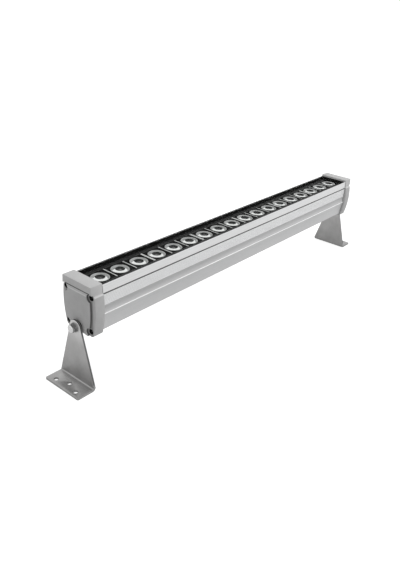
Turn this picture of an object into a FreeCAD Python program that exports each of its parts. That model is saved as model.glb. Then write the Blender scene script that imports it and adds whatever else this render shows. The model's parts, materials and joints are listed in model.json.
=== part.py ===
"""Outdoor linear wall washer light on two tilting foot brackets.

Frame: X runs along the lamp, the photographed long side faces -Y, Z is up.
The origin lies on the mounting surface, midway between the two feet. Millimetres.
"""

import FreeCAD
import Part
import math
import os

Vector = FreeCAD.Vector

# ---------------------------------------------------------------- driving dimensions
# numerical slack when faces are looked up by place
TOUCH = 1e-4

# light row
LED_PITCH = 26.0
LEDS_PER_BOARD = 3
BOARD_COUNT = 6
BOARD_END_GAP = 1.0

# where the lamp hangs on its brackets
PIVOT_HEIGHT = 63.0
PIVOT_ABOVE_BOTTOM = 3.8
TILT_PLAY = 0.05

# extruded housing, half widths and heights of its section
HOUSING_HEIGHT = 49.8
TOP_HALF = 19.3
BAND_HALF = 20.2
BAND_HEIGHT = 8.8
GROOVE_WIDTH = 1.1
GROOVE_DEPTH = 0.6
RIB_HALF = 20.8
RIB_COUNT = 9
RIB_PITCH = 1.3
RIB_LAND = 0.7
RIB_DEPTH = 0.45
COVE_HEIGHT = 8.3
COVE_DEPTH = 0.9
RIDGE_HEIGHT = 1.2
RIDGE_BEAD = 0.6
BOTTOM_HALF = 17.9
CORNER_RADIUS = 1.2
WALL = 1.9
BOTTOM_WALL = 2.2
SHELF_THICKNESS = 2.4
SHELF_DEPTH = 18.8
LEDGE_WIDTH = 2.4
POCKET_HEIGHT = 4.6
POCKET_WALL = 2.2

# glass and its seal
GLASS_WIDTH = 34.6
GLASS_THICKNESS = 3.0
GLASS_BELOW_RIM = 0.2
SEAL_WALL = 0.8
SEAL_FLOOR = 0.5

# light engine
BOARD_WIDTH = 31.0
BOARD_THICKNESS = 1.6
BOARD_JOINT = 0.3
PAD_THICKNESS = 0.3
EMITTER_SIZE = 3.5
EMITTER_HEIGHT = 0.9
EMITTER_DOME = 1.5
HOLDER_LENGTH = 23.2
HOLDER_WIDTH = 20.6
HOLDER_BELOW_GLASS = 0.4
LENS_RADIUS = 9.6
LENS_FOOT_RADIUS = 4.6
LENS_FLANGE = 1.2
LENS_DIMPLE_RADIUS = 3.4
LENS_DIMPLE_FLOOR_RADIUS = 1.7
LENS_DIMPLE_DEPTH = 3.0
LENS_CUP_RADIUS = 2.4
LENS_CUP_DEPTH = 4.0
LENS_CLEARANCE = 0.2
LENS_BELOW_HOLDER = 0.2
BLADE_THICKNESS = 0.9
BLADE_GAP = 0.5
BLADE_STANDS_PROUD = 0.2
RAIL_FLANGE_THICKNESS = 1.4
RAIL_LEG = 0.8
RAIL_GAP = 0.3
RAIL_GROOVE = 0.6
RAIL_SIDE_CLEARANCE = 0.2
BOARD_SCREW_RADIUS = 0.95
BOARD_SCREW_HEAD_RADIUS = 1.6
BOARD_SCREW_HEAD_HEIGHT = 1.2
BOARD_SCREW_OFFSET = 12.2
LINK_LENGTH = 6.0
LINK_WIDTH = 1.6
LINK_THICKNESS = 0.4
LINK_OFFSET = 12.2

# end caps
GASKET_THICKNESS = 1.0
GASKET_INSET = 0.6
CAP_LENGTH = 14.0
CAP_PANEL_RAISE = 2.5
CAP_TOP_RISE = 2.2
CAP_SHOULDER_HEIGHT = 10.2
CAP_UPPER_HALF = 22.3
CAP_MIDDLE_HALF = 23.3
CAP_LOWER_HALF = 20.2
CAP_BELOW_HOUSING = 2.8
CAP_CORNER_RADIUS = 4.0
CAP_STEP_RADIUS = 1.0
PANEL_MIDDLE_HALF = 18.0
PANEL_LOWER_HALF = 13.8
PANEL_BOW_RISE = 4.0
PANEL_GROOVE_WIDTH = 1.2
PANEL_GROOVE_DEPTH = 1.0
CAP_CAVITY_HALF = 12.5
CAP_CAVITY_TOP = 10.5
CAP_CAVITY_HEIGHT = 30.0
CAP_FACE_THICKNESS = 5.0
CAP_TOP_HALF = 20.0
CAP_SIDE_MARGIN = 0.5
CAP_ARCH_HALF = 9.0
CAP_ARCH_RISE = 1.4
PANEL_UPPER_HALF = 16.8
UPPER_SCREW_HALF = 17.9
UPPER_SCREW_BELOW_TOP = 10.0
LOWER_SCREW_HALF = 16.2
LOWER_SCREW_ABOVE_BOTTOM = 2.9
SCREW_RADIUS = 1.25
SCREW_CLEARANCE = 0.05
SCREW_HOLE_RADIUS = 1.5
SCREW_ENGAGEMENT = 12.0
SCREW_HEAD_RADIUS = 2.2
SCREW_HEAD_HEIGHT = 1.8
SCREW_RECESS_DEPTH = 1.0
SCREW_RECESS_WIDTH = 0.6
SCREW_RECESS_REACH = 1.3
SCREW_HEAD_ROUND = 0.6
PORT_BOSS_RADIUS = 3.0
POCKET_RADIUS = 2.9
POCKET_DEPTH = 5.0
POCKET_NOTCH_RADIUS = 4.4
SLEEVE_WALL = 0.5
SLEEVE_FLOOR = 0.7

# foot brackets, bent from plate
PLATE_THICKNESS = 2.5
BRACKET_HEAD_RADIUS = 7.4
BRACKET_BASE_WIDTH = 50.0
BRACKET_FLANGE_DEPTH = 22.5
BEND_INNER_RADIUS = 1.5
FLANGE_CORNER_RADIUS = 1.5
FOOT_HOLE_RADIUS = 2.4
FOOT_HOLE_SPACING = 30.0
FOOT_HOLE_EDGE = 5.7
FOOT_CENTRE_HOLE_EDGE = 10.3

# pivot hardware
BOLT_RADIUS = 2.5
BOLT_CLEARANCE = 0.1
BOLT_ENGAGEMENT = 9.0
BOLT_END_ROOM = 1.0
BOLT_HEX_FLATS = 8.0
BOLT_HEAD_HEIGHT = 3.5
BOLT_HEAD_CHAMFER = 0.5
SPACER_RADIUS = 6.0
SPACER_THICKNESS = 1.5
WASHER_RADIUS = 5.0
WASHER_THICKNESS = 1.0
SPRING_WASHER_RADIUS = 4.3
SPRING_WASHER_THICKNESS = 1.2
SPRING_WASHER_SLIT = 0.8
WASHER_BORE_PLAY = 0.2

# cable gland in the right-hand cap
GLAND_ABOVE_PIVOT = 25.0
GLAND_THREAD_RADIUS = 6.0
GLAND_THREAD_CLEARANCE = 0.1
GLAND_HEX_FLATS = 15.0
GLAND_HEX_LENGTH = 5.0
GLAND_NECK_LENGTH = 7.0
GLAND_NECK_RADIUS = 5.6
GLAND_NUT_RADIUS = 7.4
GLAND_NUT_LENGTH = 12.0
GLAND_NOSE_ROUND = 2.4
GLAND_FLUTES = 12
GLAND_FLUTE_RADIUS = 0.8
GLAND_FLUTE_OFFSET = 0.4
GLAND_BORE_RADIUS = 4.2
GLAND_BUSH_BORE = 3.25
GLAND_LOCKNUT_FLATS = 16.0
GLAND_LOCKNUT_THICKNESS = 3.5

# driver in the lower chamber
DRIVER_LENGTH = 150.0
DRIVER_WIDTH = 26.0
DRIVER_HEIGHT = 19.0
DRIVER_WALL = 0.8
DRIVER_END_INSET = 34.0
DRIVER_SIDE_CLEARANCE = 0.3
DRIVER_PAD_THICKNESS = 1.0
DRIVER_BOARD_THICKNESS = 1.4
DRIVER_BOARD_GAP = 0.2
DRIVER_STANDOFF = 2.5
DRIVER_POST_RADIUS = 1.8
DRIVER_POST_INSET = 2.5
TRANSFORMER_LENGTH = 20.0
TRANSFORMER_WIDTH = 16.0
TRANSFORMER_HEIGHT = 11.0
CORE_LEG = 4.0
CORE_YOKE = 2.6
CORE_WINDOW_DEPTH = 1.5
CAPACITOR_RADIUS = 4.0
CAPACITOR_HEIGHT = 11.0
CAPACITOR_PITCH = 12.0
CAPACITOR_COUNT = 3
TERMINAL_LENGTH = 14.0
TERMINAL_WIDTH = 18.0
TERMINAL_HEIGHT = 11.0
TERMINAL_WAYS = 3
TERMINAL_WAY_PITCH = 5.2
TERMINAL_ENTRY_RADIUS = 1.6
TERMINAL_SCREW_RADIUS = 1.4
TERMINAL_ENTRY_DEPTH = 9.0
TERMINAL_SCREW_DEPTH = 4.0
TERMINAL_GAP = 6.0
LEAD_RADIUS = 0.6
LEAD_CLEARANCE = 0.1
LEAD_OFFSET = 11.2
LEAD_STANDS_PROUD = 0.8
LEAD_INSET = 5.0
LEAD_EDGE_MARGIN = 0.2
LEAD_BEND_ROOM = 0.7
INPUT_LEAD_LENGTH = 6.0

# ---------------------------------------------------------------- derived places
LED_COUNT = LEDS_PER_BOARD * BOARD_COUNT
BOARD_LENGTH = LEDS_PER_BOARD * LED_PITCH
HOUSING_END = BOARD_COUNT * BOARD_LENGTH / 2 + BOARD_END_GAP

HOUSING_BOTTOM = PIVOT_HEIGHT - PIVOT_ABOVE_BOTTOM
HOUSING_TOP = HOUSING_BOTTOM + HOUSING_HEIGHT
GROOVE_TOP = HOUSING_TOP - BAND_HEIGHT
RIB_TOP = GROOVE_TOP - GROOVE_WIDTH
COVE_TOP = RIB_TOP - RIB_COUNT * RIB_PITCH
RIDGE_TOP = COVE_TOP - COVE_HEIGHT
RIDGE_BOTTOM = RIDGE_TOP - RIDGE_HEIGHT
COVE_HALF = RIB_HALF - COVE_DEPTH

GLASS_TOP = HOUSING_TOP - GLASS_BELOW_RIM
GLASS_UNDERSIDE = GLASS_TOP - GLASS_THICKNESS
RECESS_HALF = GLASS_WIDTH / 2 + SEAL_WALL
LEDGE_TOP = GLASS_UNDERSIDE - SEAL_FLOOR
CHAMBER_HALF = RECESS_HALF - LEDGE_WIDTH
WINDOW_END = HOUSING_END - LEDGE_WIDTH
SHELF_TOP = HOUSING_TOP - SHELF_DEPTH
SHELF_UNDERSIDE = SHELF_TOP - SHELF_THICKNESS
CHAMBER_FLOOR = HOUSING_BOTTOM + BOTTOM_WALL

BOARD_BOTTOM = SHELF_TOP + PAD_THICKNESS
BOARD_TOP = BOARD_BOTTOM + BOARD_THICKNESS
HOLDER_TOP = GLASS_UNDERSIDE - HOLDER_BELOW_GLASS
LENS_TOP = HOLDER_TOP - LENS_BELOW_HOLDER
LENS_BOTTOM = BOARD_TOP + EMITTER_HEIGHT

CAP_INNER = HOUSING_END + GASKET_THICKNESS
CAP_OUTER = CAP_INNER + CAP_LENGTH
CAP_RIM = CAP_OUTER - CAP_PANEL_RAISE
CAP_TOP = HOUSING_TOP + CAP_TOP_RISE
CAP_STEP = CAP_TOP - CAP_SHOULDER_HEIGHT
CAP_BOTTOM = HOUSING_BOTTOM - CAP_BELOW_HOUSING
CAP_SHOULDER_HALF = BAND_HALF + CAP_SIDE_MARGIN
CAVITY_TOP = CAP_TOP - CAP_CAVITY_TOP
CAVITY_BOTTOM = CAVITY_TOP - CAP_CAVITY_HEIGHT
CAVITY_END = CAP_OUTER - CAP_FACE_THICKNESS
POCKET_FLOOR = CAP_RIM - POCKET_DEPTH
UPPER_SCREW_HEIGHT = HOUSING_TOP - UPPER_SCREW_BELOW_TOP
LOWER_SCREW_HEIGHT = HOUSING_BOTTOM + LOWER_SCREW_ABOVE_BOTTOM
SCREW_PLACES = [
    (-UPPER_SCREW_HALF, UPPER_SCREW_HEIGHT),
    (UPPER_SCREW_HALF, UPPER_SCREW_HEIGHT),
    (-LOWER_SCREW_HALF, LOWER_SCREW_HEIGHT),
    (LOWER_SCREW_HALF, LOWER_SCREW_HEIGHT),
]

SPACER_OUTER = CAP_OUTER + SPACER_THICKNESS
PLATE_INNER = SPACER_OUTER + TILT_PLAY
PLATE_OUTER = PLATE_INNER + PLATE_THICKNESS
WASHER_INNER = PLATE_OUTER + TILT_PLAY
WASHER_OUTER = WASHER_INNER + WASHER_THICKNESS
HEAD_SEAT = WASHER_OUTER + SPRING_WASHER_THICKNESS
BEND_OUTER_RADIUS = BEND_INNER_RADIUS + PLATE_THICKNESS
FLANGE_EDGE = PLATE_INNER + BRACKET_FLANGE_DEPTH

GLAND_HEIGHT = PIVOT_HEIGHT + GLAND_ABOVE_PIVOT
GLAND_COLLAR_END = CAP_OUTER + GLAND_HEX_LENGTH
GLAND_NECK_END = GLAND_COLLAR_END + GLAND_NECK_LENGTH
GLAND_NOSE = GLAND_COLLAR_END + GLAND_NUT_LENGTH
GLAND_THREAD_START = CAVITY_END - GLAND_LOCKNUT_THICKNESS

DRIVER_RIGHT = HOUSING_END - DRIVER_END_INSET
DRIVER_LEFT = DRIVER_RIGHT - DRIVER_LENGTH
DRIVER_MIDDLE = (DRIVER_LEFT + DRIVER_RIGHT) / 2
DRIVER_BOTTOM = CHAMBER_FLOOR + DRIVER_PAD_THICKNESS
DRIVER_TOP = DRIVER_BOTTOM + DRIVER_HEIGHT
DRIVER_LID_UNDERSIDE = DRIVER_TOP - DRIVER_WALL
DRIVER_INNER_HALF = DRIVER_WIDTH / 2 - DRIVER_WALL
DRIVER_BOARD_BOTTOM = DRIVER_BOTTOM + DRIVER_WALL + DRIVER_STANDOFF
DRIVER_BOARD_TOP = DRIVER_BOARD_BOTTOM + DRIVER_BOARD_THICKNESS
DRIVER_BOARD_HALF = DRIVER_INNER_HALF - DRIVER_BOARD_GAP
LEAD_X = DRIVER_RIGHT - LEAD_INSET
DRIVER_LEAD_OFFSET = DRIVER_BOARD_HALF - LEAD_EDGE_MARGIN - LEAD_RADIUS
INPUT_LEAD_HEIGHT = DRIVER_BOARD_TOP + LEAD_RADIUS + LEAD_CLEARANCE
TERMINAL_LEFT = DRIVER_RIGHT + TERMINAL_GAP


# ---------------------------------------------------------------- shape helpers
def block(x_range, y_range, z_range):
    """An upright box between two planes along each axis."""
    low = Vector(x_range[0], y_range[0], z_range[0])
    size = Vector(x_range[1], y_range[1], z_range[1]) - low
    return Part.makeBox(size.x, size.y, size.z, low)


def rod(x_start, x_end, radius, y=0.0, z=0.0):
    """A round bar along X."""
    return Part.makeCylinder(radius, x_end - x_start, Vector(x_start, y, z), Vector(1, 0, 0))


def post(z_start, z_end, radius, x=0.0, y=0.0):
    """A round bar along Z."""
    return Part.makeCylinder(radius, z_end - z_start, Vector(x, y, z_start), Vector(0, 0, 1))


def hexagon(x_start, x_end, across_flats, z):
    """A hexagonal bar along X with its middle at y = 0."""
    corner = across_flats / math.sqrt(3)
    angles = [math.radians(60 * index + 30) for index in range(7)]
    points = [Vector(x_start, corner * math.cos(a), z + corner * math.sin(a)) for a in angles]
    face = Part.Face(Part.makePolygon(points))
    return face.extrude(Vector(x_end - x_start, 0, 0))


def path_edges(start, steps):
    """Edges in the YZ plane. A step is an end point, or a pair (middle, end) for an arc."""
    edges = []
    here = Vector(0, *start)
    for step in steps:
        if isinstance(step[0], tuple):
            middle = Vector(0, *step[0])
            end = Vector(0, *step[1])
            edges.append(Part.Arc(here, middle, end).toShape())
        else:
            end = Vector(0, *step)
            edges.append(Part.makeLine(here, end))
        here = end
    return edges


def mirrored_face(start, steps):
    """The face between a half outline on the +Y side and its mirror image across y = 0."""
    half = path_edges(start, steps)
    other = [edge.mirror(Vector(0, 0, 0), Vector(0, 1, 0)) for edge in half]
    last = steps[-1][1] if isinstance(steps[-1][0], tuple) else steps[-1]
    top = Part.makeLine(Vector(0, -start[0], start[1]), Vector(0, *start))
    bottom = Part.makeLine(Vector(0, -last[0], last[1]), Vector(0, *last))
    ordered = Part.__sortEdges__([top] + half + [bottom] + other)
    return Part.Face(Part.Wire(ordered))


def prism(face, x_start, x_end):
    """A face in the YZ plane, pulled out along X between two planes."""
    moved = face.copy()
    moved.translate(Vector(x_start, 0, 0))
    return moved.extrude(Vector(x_end - x_start, 0, 0))


def mirror_x(shape):
    """The left-hand twin of a right-hand shape."""
    return shape.mirror(Vector(0, 0, 0), Vector(1, 0, 0))


def mirror_y(shape):
    """The twin of a shape on the other side of the lamp's middle plane."""
    return shape.mirror(Vector(0, 0, 0), Vector(0, 1, 0))


def group(shapes):
    """Separate solids that share one node."""
    return Part.Compound(shapes)


def edges_on(shape, x):
    """The edges that lie wholly in the plane at x."""
    return [
        edge
        for edge in shape.Edges
        if abs(edge.BoundBox.XMin - x) < TOUCH and abs(edge.BoundBox.XMax - x) < TOUCH
    ]


def corner_turn(radius):
    """How far the middle of a quarter round lies inside its corner, along each axis."""
    return radius * (1 - math.sqrt(0.5))


def led_x(index):
    """Where the light at this place in the row stands."""
    return (index - (LED_COUNT - 1) / 2) * LED_PITCH


def board_x(index):
    """The middle of a board."""
    return (index - (BOARD_COUNT - 1) / 2) * BOARD_LENGTH


# ---------------------------------------------------------------- housing
def housing_outline():
    """The housing's half section, from the top rim down to the bottom corner."""
    steps = [
        (BAND_HALF, GROOVE_TOP),
        (BAND_HALF - GROOVE_DEPTH, GROOVE_TOP),
        (BAND_HALF - GROOVE_DEPTH, RIB_TOP),
        (RIB_HALF, RIB_TOP),
    ]
    for index in range(RIB_COUNT):
        crest = RIB_TOP - index * RIB_PITCH
        steps.append((RIB_HALF, crest - RIB_LAND))
        steps.append((RIB_HALF - RIB_DEPTH, crest - RIB_LAND))
        steps.append((RIB_HALF - RIB_DEPTH, crest - RIB_PITCH))
        steps.append((RIB_HALF, crest - RIB_PITCH))
    cove_middle = (COVE_HALF, (COVE_TOP + RIDGE_TOP) / 2)
    ridge_middle = (RIB_HALF + RIDGE_BEAD, (RIDGE_TOP + RIDGE_BOTTOM) / 2)
    turn = corner_turn(CORNER_RADIUS)
    corner_middle = (BOTTOM_HALF - turn, HOUSING_BOTTOM + turn)
    steps.append((cove_middle, (RIB_HALF, RIDGE_TOP)))
    steps.append((ridge_middle, (RIB_HALF, RIDGE_BOTTOM)))
    steps.append((BOTTOM_HALF, HOUSING_BOTTOM + CORNER_RADIUS))
    steps.append((corner_middle, (BOTTOM_HALF - CORNER_RADIUS, HOUSING_BOTTOM)))
    return (TOP_HALF, HOUSING_TOP), steps


def make_housing():
    """One extrusion: glass ledge, light chamber, shelf, driver chamber and screw ports."""
    ends = (-HOUSING_END, HOUSING_END)
    body = prism(mirrored_face(*housing_outline()), *ends)
    pocket_half = RIB_HALF - RIB_DEPTH - POCKET_WALL
    chamber_half = COVE_HALF - WALL
    bay_half = DRIVER_WIDTH / 2 + DRIVER_SIDE_CLEARANCE
    hollows = [
        block(ends, (-RECESS_HALF, RECESS_HALF), (LEDGE_TOP, HOUSING_TOP)),
        block(ends, (-CHAMBER_HALF, CHAMBER_HALF), (SHELF_TOP, LEDGE_TOP)),
        block(ends, (-pocket_half, pocket_half), (SHELF_TOP, SHELF_TOP + POCKET_HEIGHT)),
        block(ends, (-bay_half, bay_half), (CHAMBER_FLOOR, SHELF_UNDERSIDE)),
    ]
    floor_corner = (BOTTOM_HALF - WALL, CHAMBER_FLOOR)
    section = mirrored_face((chamber_half, SHELF_UNDERSIDE), [(chamber_half, RIDGE_BOTTOM), floor_corner])
    bosses = [rod(*ends, PORT_BOSS_RADIUS, y, z) for y, z in SCREW_PLACES]
    hollows.append(prism(section, *ends).cut(bosses))
    for y, z in SCREW_PLACES:
        hollows.append(rod(*ends, SCREW_RADIUS + SCREW_CLEARANCE, y, z))
    return body.cut(hollows + board_holes(SHELF_UNDERSIDE, SHELF_TOP))


# ---------------------------------------------------------------- glass
def make_glass():
    end = HOUSING_END - SEAL_WALL
    return block((-end, end), (-GLASS_WIDTH / 2, GLASS_WIDTH / 2), (GLASS_UNDERSIDE, GLASS_TOP))


def make_glass_seal():
    """A frame of L section: it lines the recess, and the glass lies in it."""
    ends = (-HOUSING_END, HOUSING_END)
    outer = block(ends, (-RECESS_HALF, RECESS_HALF), (LEDGE_TOP, GLASS_TOP))
    window = block(
        (-WINDOW_END, WINDOW_END), (-CHAMBER_HALF, CHAMBER_HALF), (LEDGE_TOP, GLASS_UNDERSIDE)
    )
    return outer.cut([make_glass(), window])


# ---------------------------------------------------------------- light engine
def board_screw_places():
    """Four screws a board, each beside the gap between two lights."""
    places = []
    for index in range(BOARD_COUNT):
        for x in (board_x(index) - LED_PITCH / 2, board_x(index) + LED_PITCH / 2):
            places.append((x, -BOARD_SCREW_OFFSET))
            places.append((x, BOARD_SCREW_OFFSET))
    return places


def lead_places(offset):
    """The two leads' places: at one offset they leave the driver, at another they reach the lights."""
    return [(LEAD_X, side * offset) for side in (-1, 1)]


def board_holes(bottom, top):
    """The screw holes and lead holes through everything between two heights."""
    radius = BOARD_SCREW_RADIUS + SCREW_CLEARANCE
    holes = [post(bottom, top, radius, x, y) for x, y in board_screw_places()]
    for x, y in lead_places(LEAD_OFFSET):
        holes.append(post(bottom, top, LEAD_RADIUS + LEAD_CLEARANCE, x, y))
    return holes


def make_thermal_pad():
    end = HOUSING_END - BOARD_END_GAP
    pad = block((-end, end), (-BOARD_WIDTH / 2, BOARD_WIDTH / 2), (SHELF_TOP, BOARD_BOTTOM))
    return pad.cut(board_holes(SHELF_TOP, BOARD_BOTTOM))


def make_board(index):
    half = (BOARD_LENGTH - BOARD_JOINT) / 2
    x_range = (board_x(index) - half, board_x(index) + half)
    board = block(x_range, (-BOARD_WIDTH / 2, BOARD_WIDTH / 2), (BOARD_BOTTOM, BOARD_TOP))
    return board.cut(board_holes(BOARD_BOTTOM, BOARD_TOP))


def make_emitter(x):
    """A square package with a half-round dome."""
    half = EMITTER_SIZE / 2
    package = block((x - half, x + half), (-half, half), (BOARD_TOP, LENS_BOTTOM))
    dome = Part.makeSphere(EMITTER_DOME, Vector(x, 0, LENS_BOTTOM), Vector(0, 0, 1), 0, 90, 360)
    return package.fuse(dome)


def lens_body(x, extra):
    """The tapering outside of a lens with its top flange, grown by extra on the radius."""
    flange_bottom = LENS_TOP - LENS_FLANGE
    foot = LENS_FOOT_RADIUS + extra
    rim = LENS_RADIUS + extra
    taper = Part.makeCone(foot, rim, flange_bottom - LENS_BOTTOM, Vector(x, 0, LENS_BOTTOM))
    return taper.fuse(post(flange_bottom, LENS_TOP, rim, x))


def make_lens(x):
    """A collimator: a cup over the emitter below, and a dimple in the face above."""
    cup = post(LENS_BOTTOM, LENS_BOTTOM + LENS_CUP_DEPTH, LENS_CUP_RADIUS, x)
    base = Vector(x, 0, LENS_TOP - LENS_DIMPLE_DEPTH)
    dimple = Part.makeCone(LENS_DIMPLE_FLOOR_RADIUS, LENS_DIMPLE_RADIUS, LENS_DIMPLE_DEPTH, base)
    return lens_body(x, 0.0).cut([cup, dimple])


def make_holder(x):
    """A square tower with a tapering seat for one lens."""
    half = HOLDER_LENGTH / 2
    width = (-HOLDER_WIDTH / 2, HOLDER_WIDTH / 2)
    tower = block((x - half, x + half), width, (BOARD_TOP, HOLDER_TOP))
    foot = post(BOARD_TOP, LENS_BOTTOM, LENS_FOOT_RADIUS + LENS_CLEARANCE, x)
    mouth = post(LENS_TOP, HOLDER_TOP, LENS_RADIUS + LENS_CLEARANCE, x)
    return tower.cut([lens_body(x, LENS_CLEARANCE), foot, mouth])


def lights_of(board):
    """The places in the row of the lights on one board."""
    return [led_x(board * LEDS_PER_BOARD + index) for index in range(LEDS_PER_BOARD)]


def make_blades():
    """Dividers between the lenses: one inside a board, two where boards meet."""
    blades = []
    height = (BOARD_TOP, HOLDER_TOP + BLADE_STANDS_PROUD)
    width = (-HOLDER_WIDTH / 2, HOLDER_WIDTH / 2)
    offset = (BLADE_THICKNESS + BLADE_GAP) / 2
    for index in range(1, LED_COUNT):
        middle = led_x(index) - LED_PITCH / 2
        centres = [middle]
        if index % LEDS_PER_BOARD == 0:
            centres = [middle - offset, middle + offset]
        for x in centres:
            blades.append(block((x - BLADE_THICKNESS / 2, x + BLADE_THICKNESS / 2), width, height))
    return group(blades)


def make_glare_rail():
    """A strip on the +Y side: a leg on the boards' edge, and a grooved top beside the lenses."""
    ends = (RAIL_SIDE_CLEARANCE - WINDOW_END, WINDOW_END - RAIL_SIDE_CLEARANCE)
    outer = CHAMBER_HALF - RAIL_SIDE_CLEARANCE
    inner = HOLDER_WIDTH / 2 + RAIL_GAP
    leg = block(ends, (outer - RAIL_LEG, outer), (BOARD_TOP, HOLDER_TOP))
    flange = block(ends, (inner, outer), (HOLDER_TOP - RAIL_FLANGE_THICKNESS, HOLDER_TOP))
    middle = (inner + outer) / 2
    groove_width = (middle - RAIL_GROOVE / 2, middle + RAIL_GROOVE / 2)
    groove = block(ends, groove_width, (HOLDER_TOP - RAIL_GROOVE, HOLDER_TOP))
    return leg.fuse(flange).removeSplitter().cut(groove)


def make_board_screws():
    screws = []
    for x, y in board_screw_places():
        shank = post(SHELF_UNDERSIDE, BOARD_TOP, BOARD_SCREW_RADIUS, x, y)
        head = post(BOARD_TOP, BOARD_TOP + BOARD_SCREW_HEAD_HEIGHT, BOARD_SCREW_HEAD_RADIUS, x, y)
        screws.append(shank.fuse(head))
    return group(screws)


def make_board_links():
    """Flat links that carry the current from one board to the next."""
    links = []
    height = (BOARD_TOP, BOARD_TOP + LINK_THICKNESS)
    for index in range(1, BOARD_COUNT):
        joint = board_x(index) - BOARD_LENGTH / 2
        for y in (-LINK_OFFSET, LINK_OFFSET):
            x_range = (joint - LINK_LENGTH / 2, joint + LINK_LENGTH / 2)
            links.append(block(x_range, (y - LINK_WIDTH / 2, y + LINK_WIDTH / 2), height))
    return group(links)


# ---------------------------------------------------------------- end caps
def cap_outline():
    """The cap's half outline: shoulder, step, bowed side, corner lobe and arched bottom."""
    lobe = (CAP_LOWER_HALF - CAP_CORNER_RADIUS, CAP_BOTTOM)
    side_end = (CAP_LOWER_HALF, CAP_BOTTOM + CAP_CORNER_RADIUS)
    side_middle = (CAP_MIDDLE_HALF, (CAP_STEP + side_end[1]) / 2)
    turn = corner_turn(CAP_CORNER_RADIUS)
    round_off = corner_turn(CAP_STEP_RADIUS)
    step_middle = (CAP_UPPER_HALF - round_off, CAP_STEP - round_off)
    steps = [
        (CAP_SHOULDER_HALF, CAP_STEP),
        (CAP_UPPER_HALF - CAP_STEP_RADIUS, CAP_STEP),
        (step_middle, (CAP_UPPER_HALF, CAP_STEP - CAP_STEP_RADIUS)),
        (side_middle, side_end),
        ((CAP_LOWER_HALF - turn, CAP_BOTTOM + turn), lobe),
        (CAP_ARCH_HALF, CAP_BOTTOM + CAP_ARCH_RISE),
    ]
    return (CAP_TOP_HALF, CAP_TOP), steps


def panel_outline():
    """The raised panel's half outline, before the notches round the screws."""
    foot = (PANEL_LOWER_HALF, CAP_BOTTOM)
    middle = (PANEL_MIDDLE_HALF, (CAP_STEP + CAP_BOTTOM) / 2 + PANEL_BOW_RISE)
    steps = [
        (CAP_SHOULDER_HALF, CAP_STEP),
        (PANEL_UPPER_HALF, CAP_STEP),
        (middle, foot),
    ]
    return (CAP_TOP_HALF, CAP_TOP), steps


def make_cap_panel():
    """The raised panel on the cap's outer face, notched round the four screws."""
    ends = (CAP_RIM, CAP_OUTER)
    panel = prism(mirrored_face(*panel_outline()), *ends)
    panel = panel.common(prism(mirrored_face(*cap_outline()), *ends))
    return panel.cut([rod(*ends, POCKET_NOTCH_RADIUS, y, z) for y, z in SCREW_PLACES])


def make_left_cap():
    """The casting at each end: deep pockets for its screws and a blind hole for the pivot."""
    base = prism(mirrored_face(*cap_outline()), CAP_INNER, CAP_RIM)
    cap = base.fuse(make_cap_panel())
    groove_bottom = UPPER_SCREW_HEIGHT + POCKET_NOTCH_RADIUS - PANEL_GROOVE_WIDTH / 2
    hollows = [
        block(
            (CAP_INNER, CAVITY_END),
            (-CAP_CAVITY_HALF, CAP_CAVITY_HALF),
            (CAVITY_BOTTOM, CAVITY_TOP),
        ),
        block(
            (CAP_OUTER - PANEL_GROOVE_DEPTH, CAP_OUTER),
            (-UPPER_SCREW_HALF, UPPER_SCREW_HALF),
            (groove_bottom, groove_bottom + PANEL_GROOVE_WIDTH),
        ),
    ]
    for y, z in SCREW_PLACES:
        hollows.append(rod(POCKET_FLOOR, CAP_RIM, POCKET_RADIUS, y, z))
        hollows.append(rod(CAP_INNER, POCKET_FLOOR, SCREW_HOLE_RADIUS, y, z))
    hole_start = CAP_OUTER - BOLT_ENGAGEMENT - BOLT_END_ROOM
    hollows.append(rod(hole_start, CAP_OUTER, BOLT_RADIUS + SCREW_CLEARANCE, 0, PIVOT_HEIGHT))
    return cap.cut(hollows)


def make_right_cap():
    """The same casting, drilled for the cable gland."""
    radius = GLAND_THREAD_RADIUS + GLAND_THREAD_CLEARANCE
    return make_left_cap().cut(rod(CAVITY_END, CAP_OUTER, radius, 0, GLAND_HEIGHT))


def make_gasket():
    """A flat gasket, a little smaller than the housing's section, open at the cap's cavity."""
    inner_half = BAND_HALF - GROOVE_DEPTH - GASKET_INSET
    outline = [
        (inner_half, GROOVE_TOP),
        (inner_half, RIDGE_BOTTOM),
        (BOTTOM_HALF - GASKET_INSET, HOUSING_BOTTOM + CORNER_RADIUS),
        (BOTTOM_HALF - CORNER_RADIUS, HOUSING_BOTTOM + GASKET_INSET),
    ]
    ends = (HOUSING_END, CAP_INNER)
    start = (TOP_HALF - GASKET_INSET, HOUSING_TOP - GASKET_INSET)
    sheet = prism(mirrored_face(start, outline), *ends)
    window = block(ends, (-CAP_CAVITY_HALF, CAP_CAVITY_HALF), (CAVITY_BOTTOM, CAVITY_TOP))
    holes = [rod(*ends, SCREW_HOLE_RADIUS, y, z) for y, z in SCREW_PLACES]
    return sheet.cut([window] + holes)


def make_cap_screw(y, z):
    """A pan-head screw with a cross recess."""
    seat = POCKET_FLOOR + SLEEVE_FLOOR
    top = seat + SCREW_HEAD_HEIGHT
    shank = rod(HOUSING_END - SCREW_ENGAGEMENT, seat, SCREW_RADIUS, y, z)
    head = rod(seat, top, SCREW_HEAD_RADIUS, y, z)
    head = head.makeFillet(SCREW_HEAD_ROUND, edges_on(head, top))
    half = SCREW_RECESS_WIDTH / 2
    depth = (top - SCREW_RECESS_DEPTH, top)
    bar = block(depth, (y - SCREW_RECESS_REACH, y + SCREW_RECESS_REACH), (z - half, z + half))
    upright = block(depth, (y - half, y + half), (z - SCREW_RECESS_REACH, z + SCREW_RECESS_REACH))
    return shank.fuse(head).cut([bar, upright])


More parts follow.
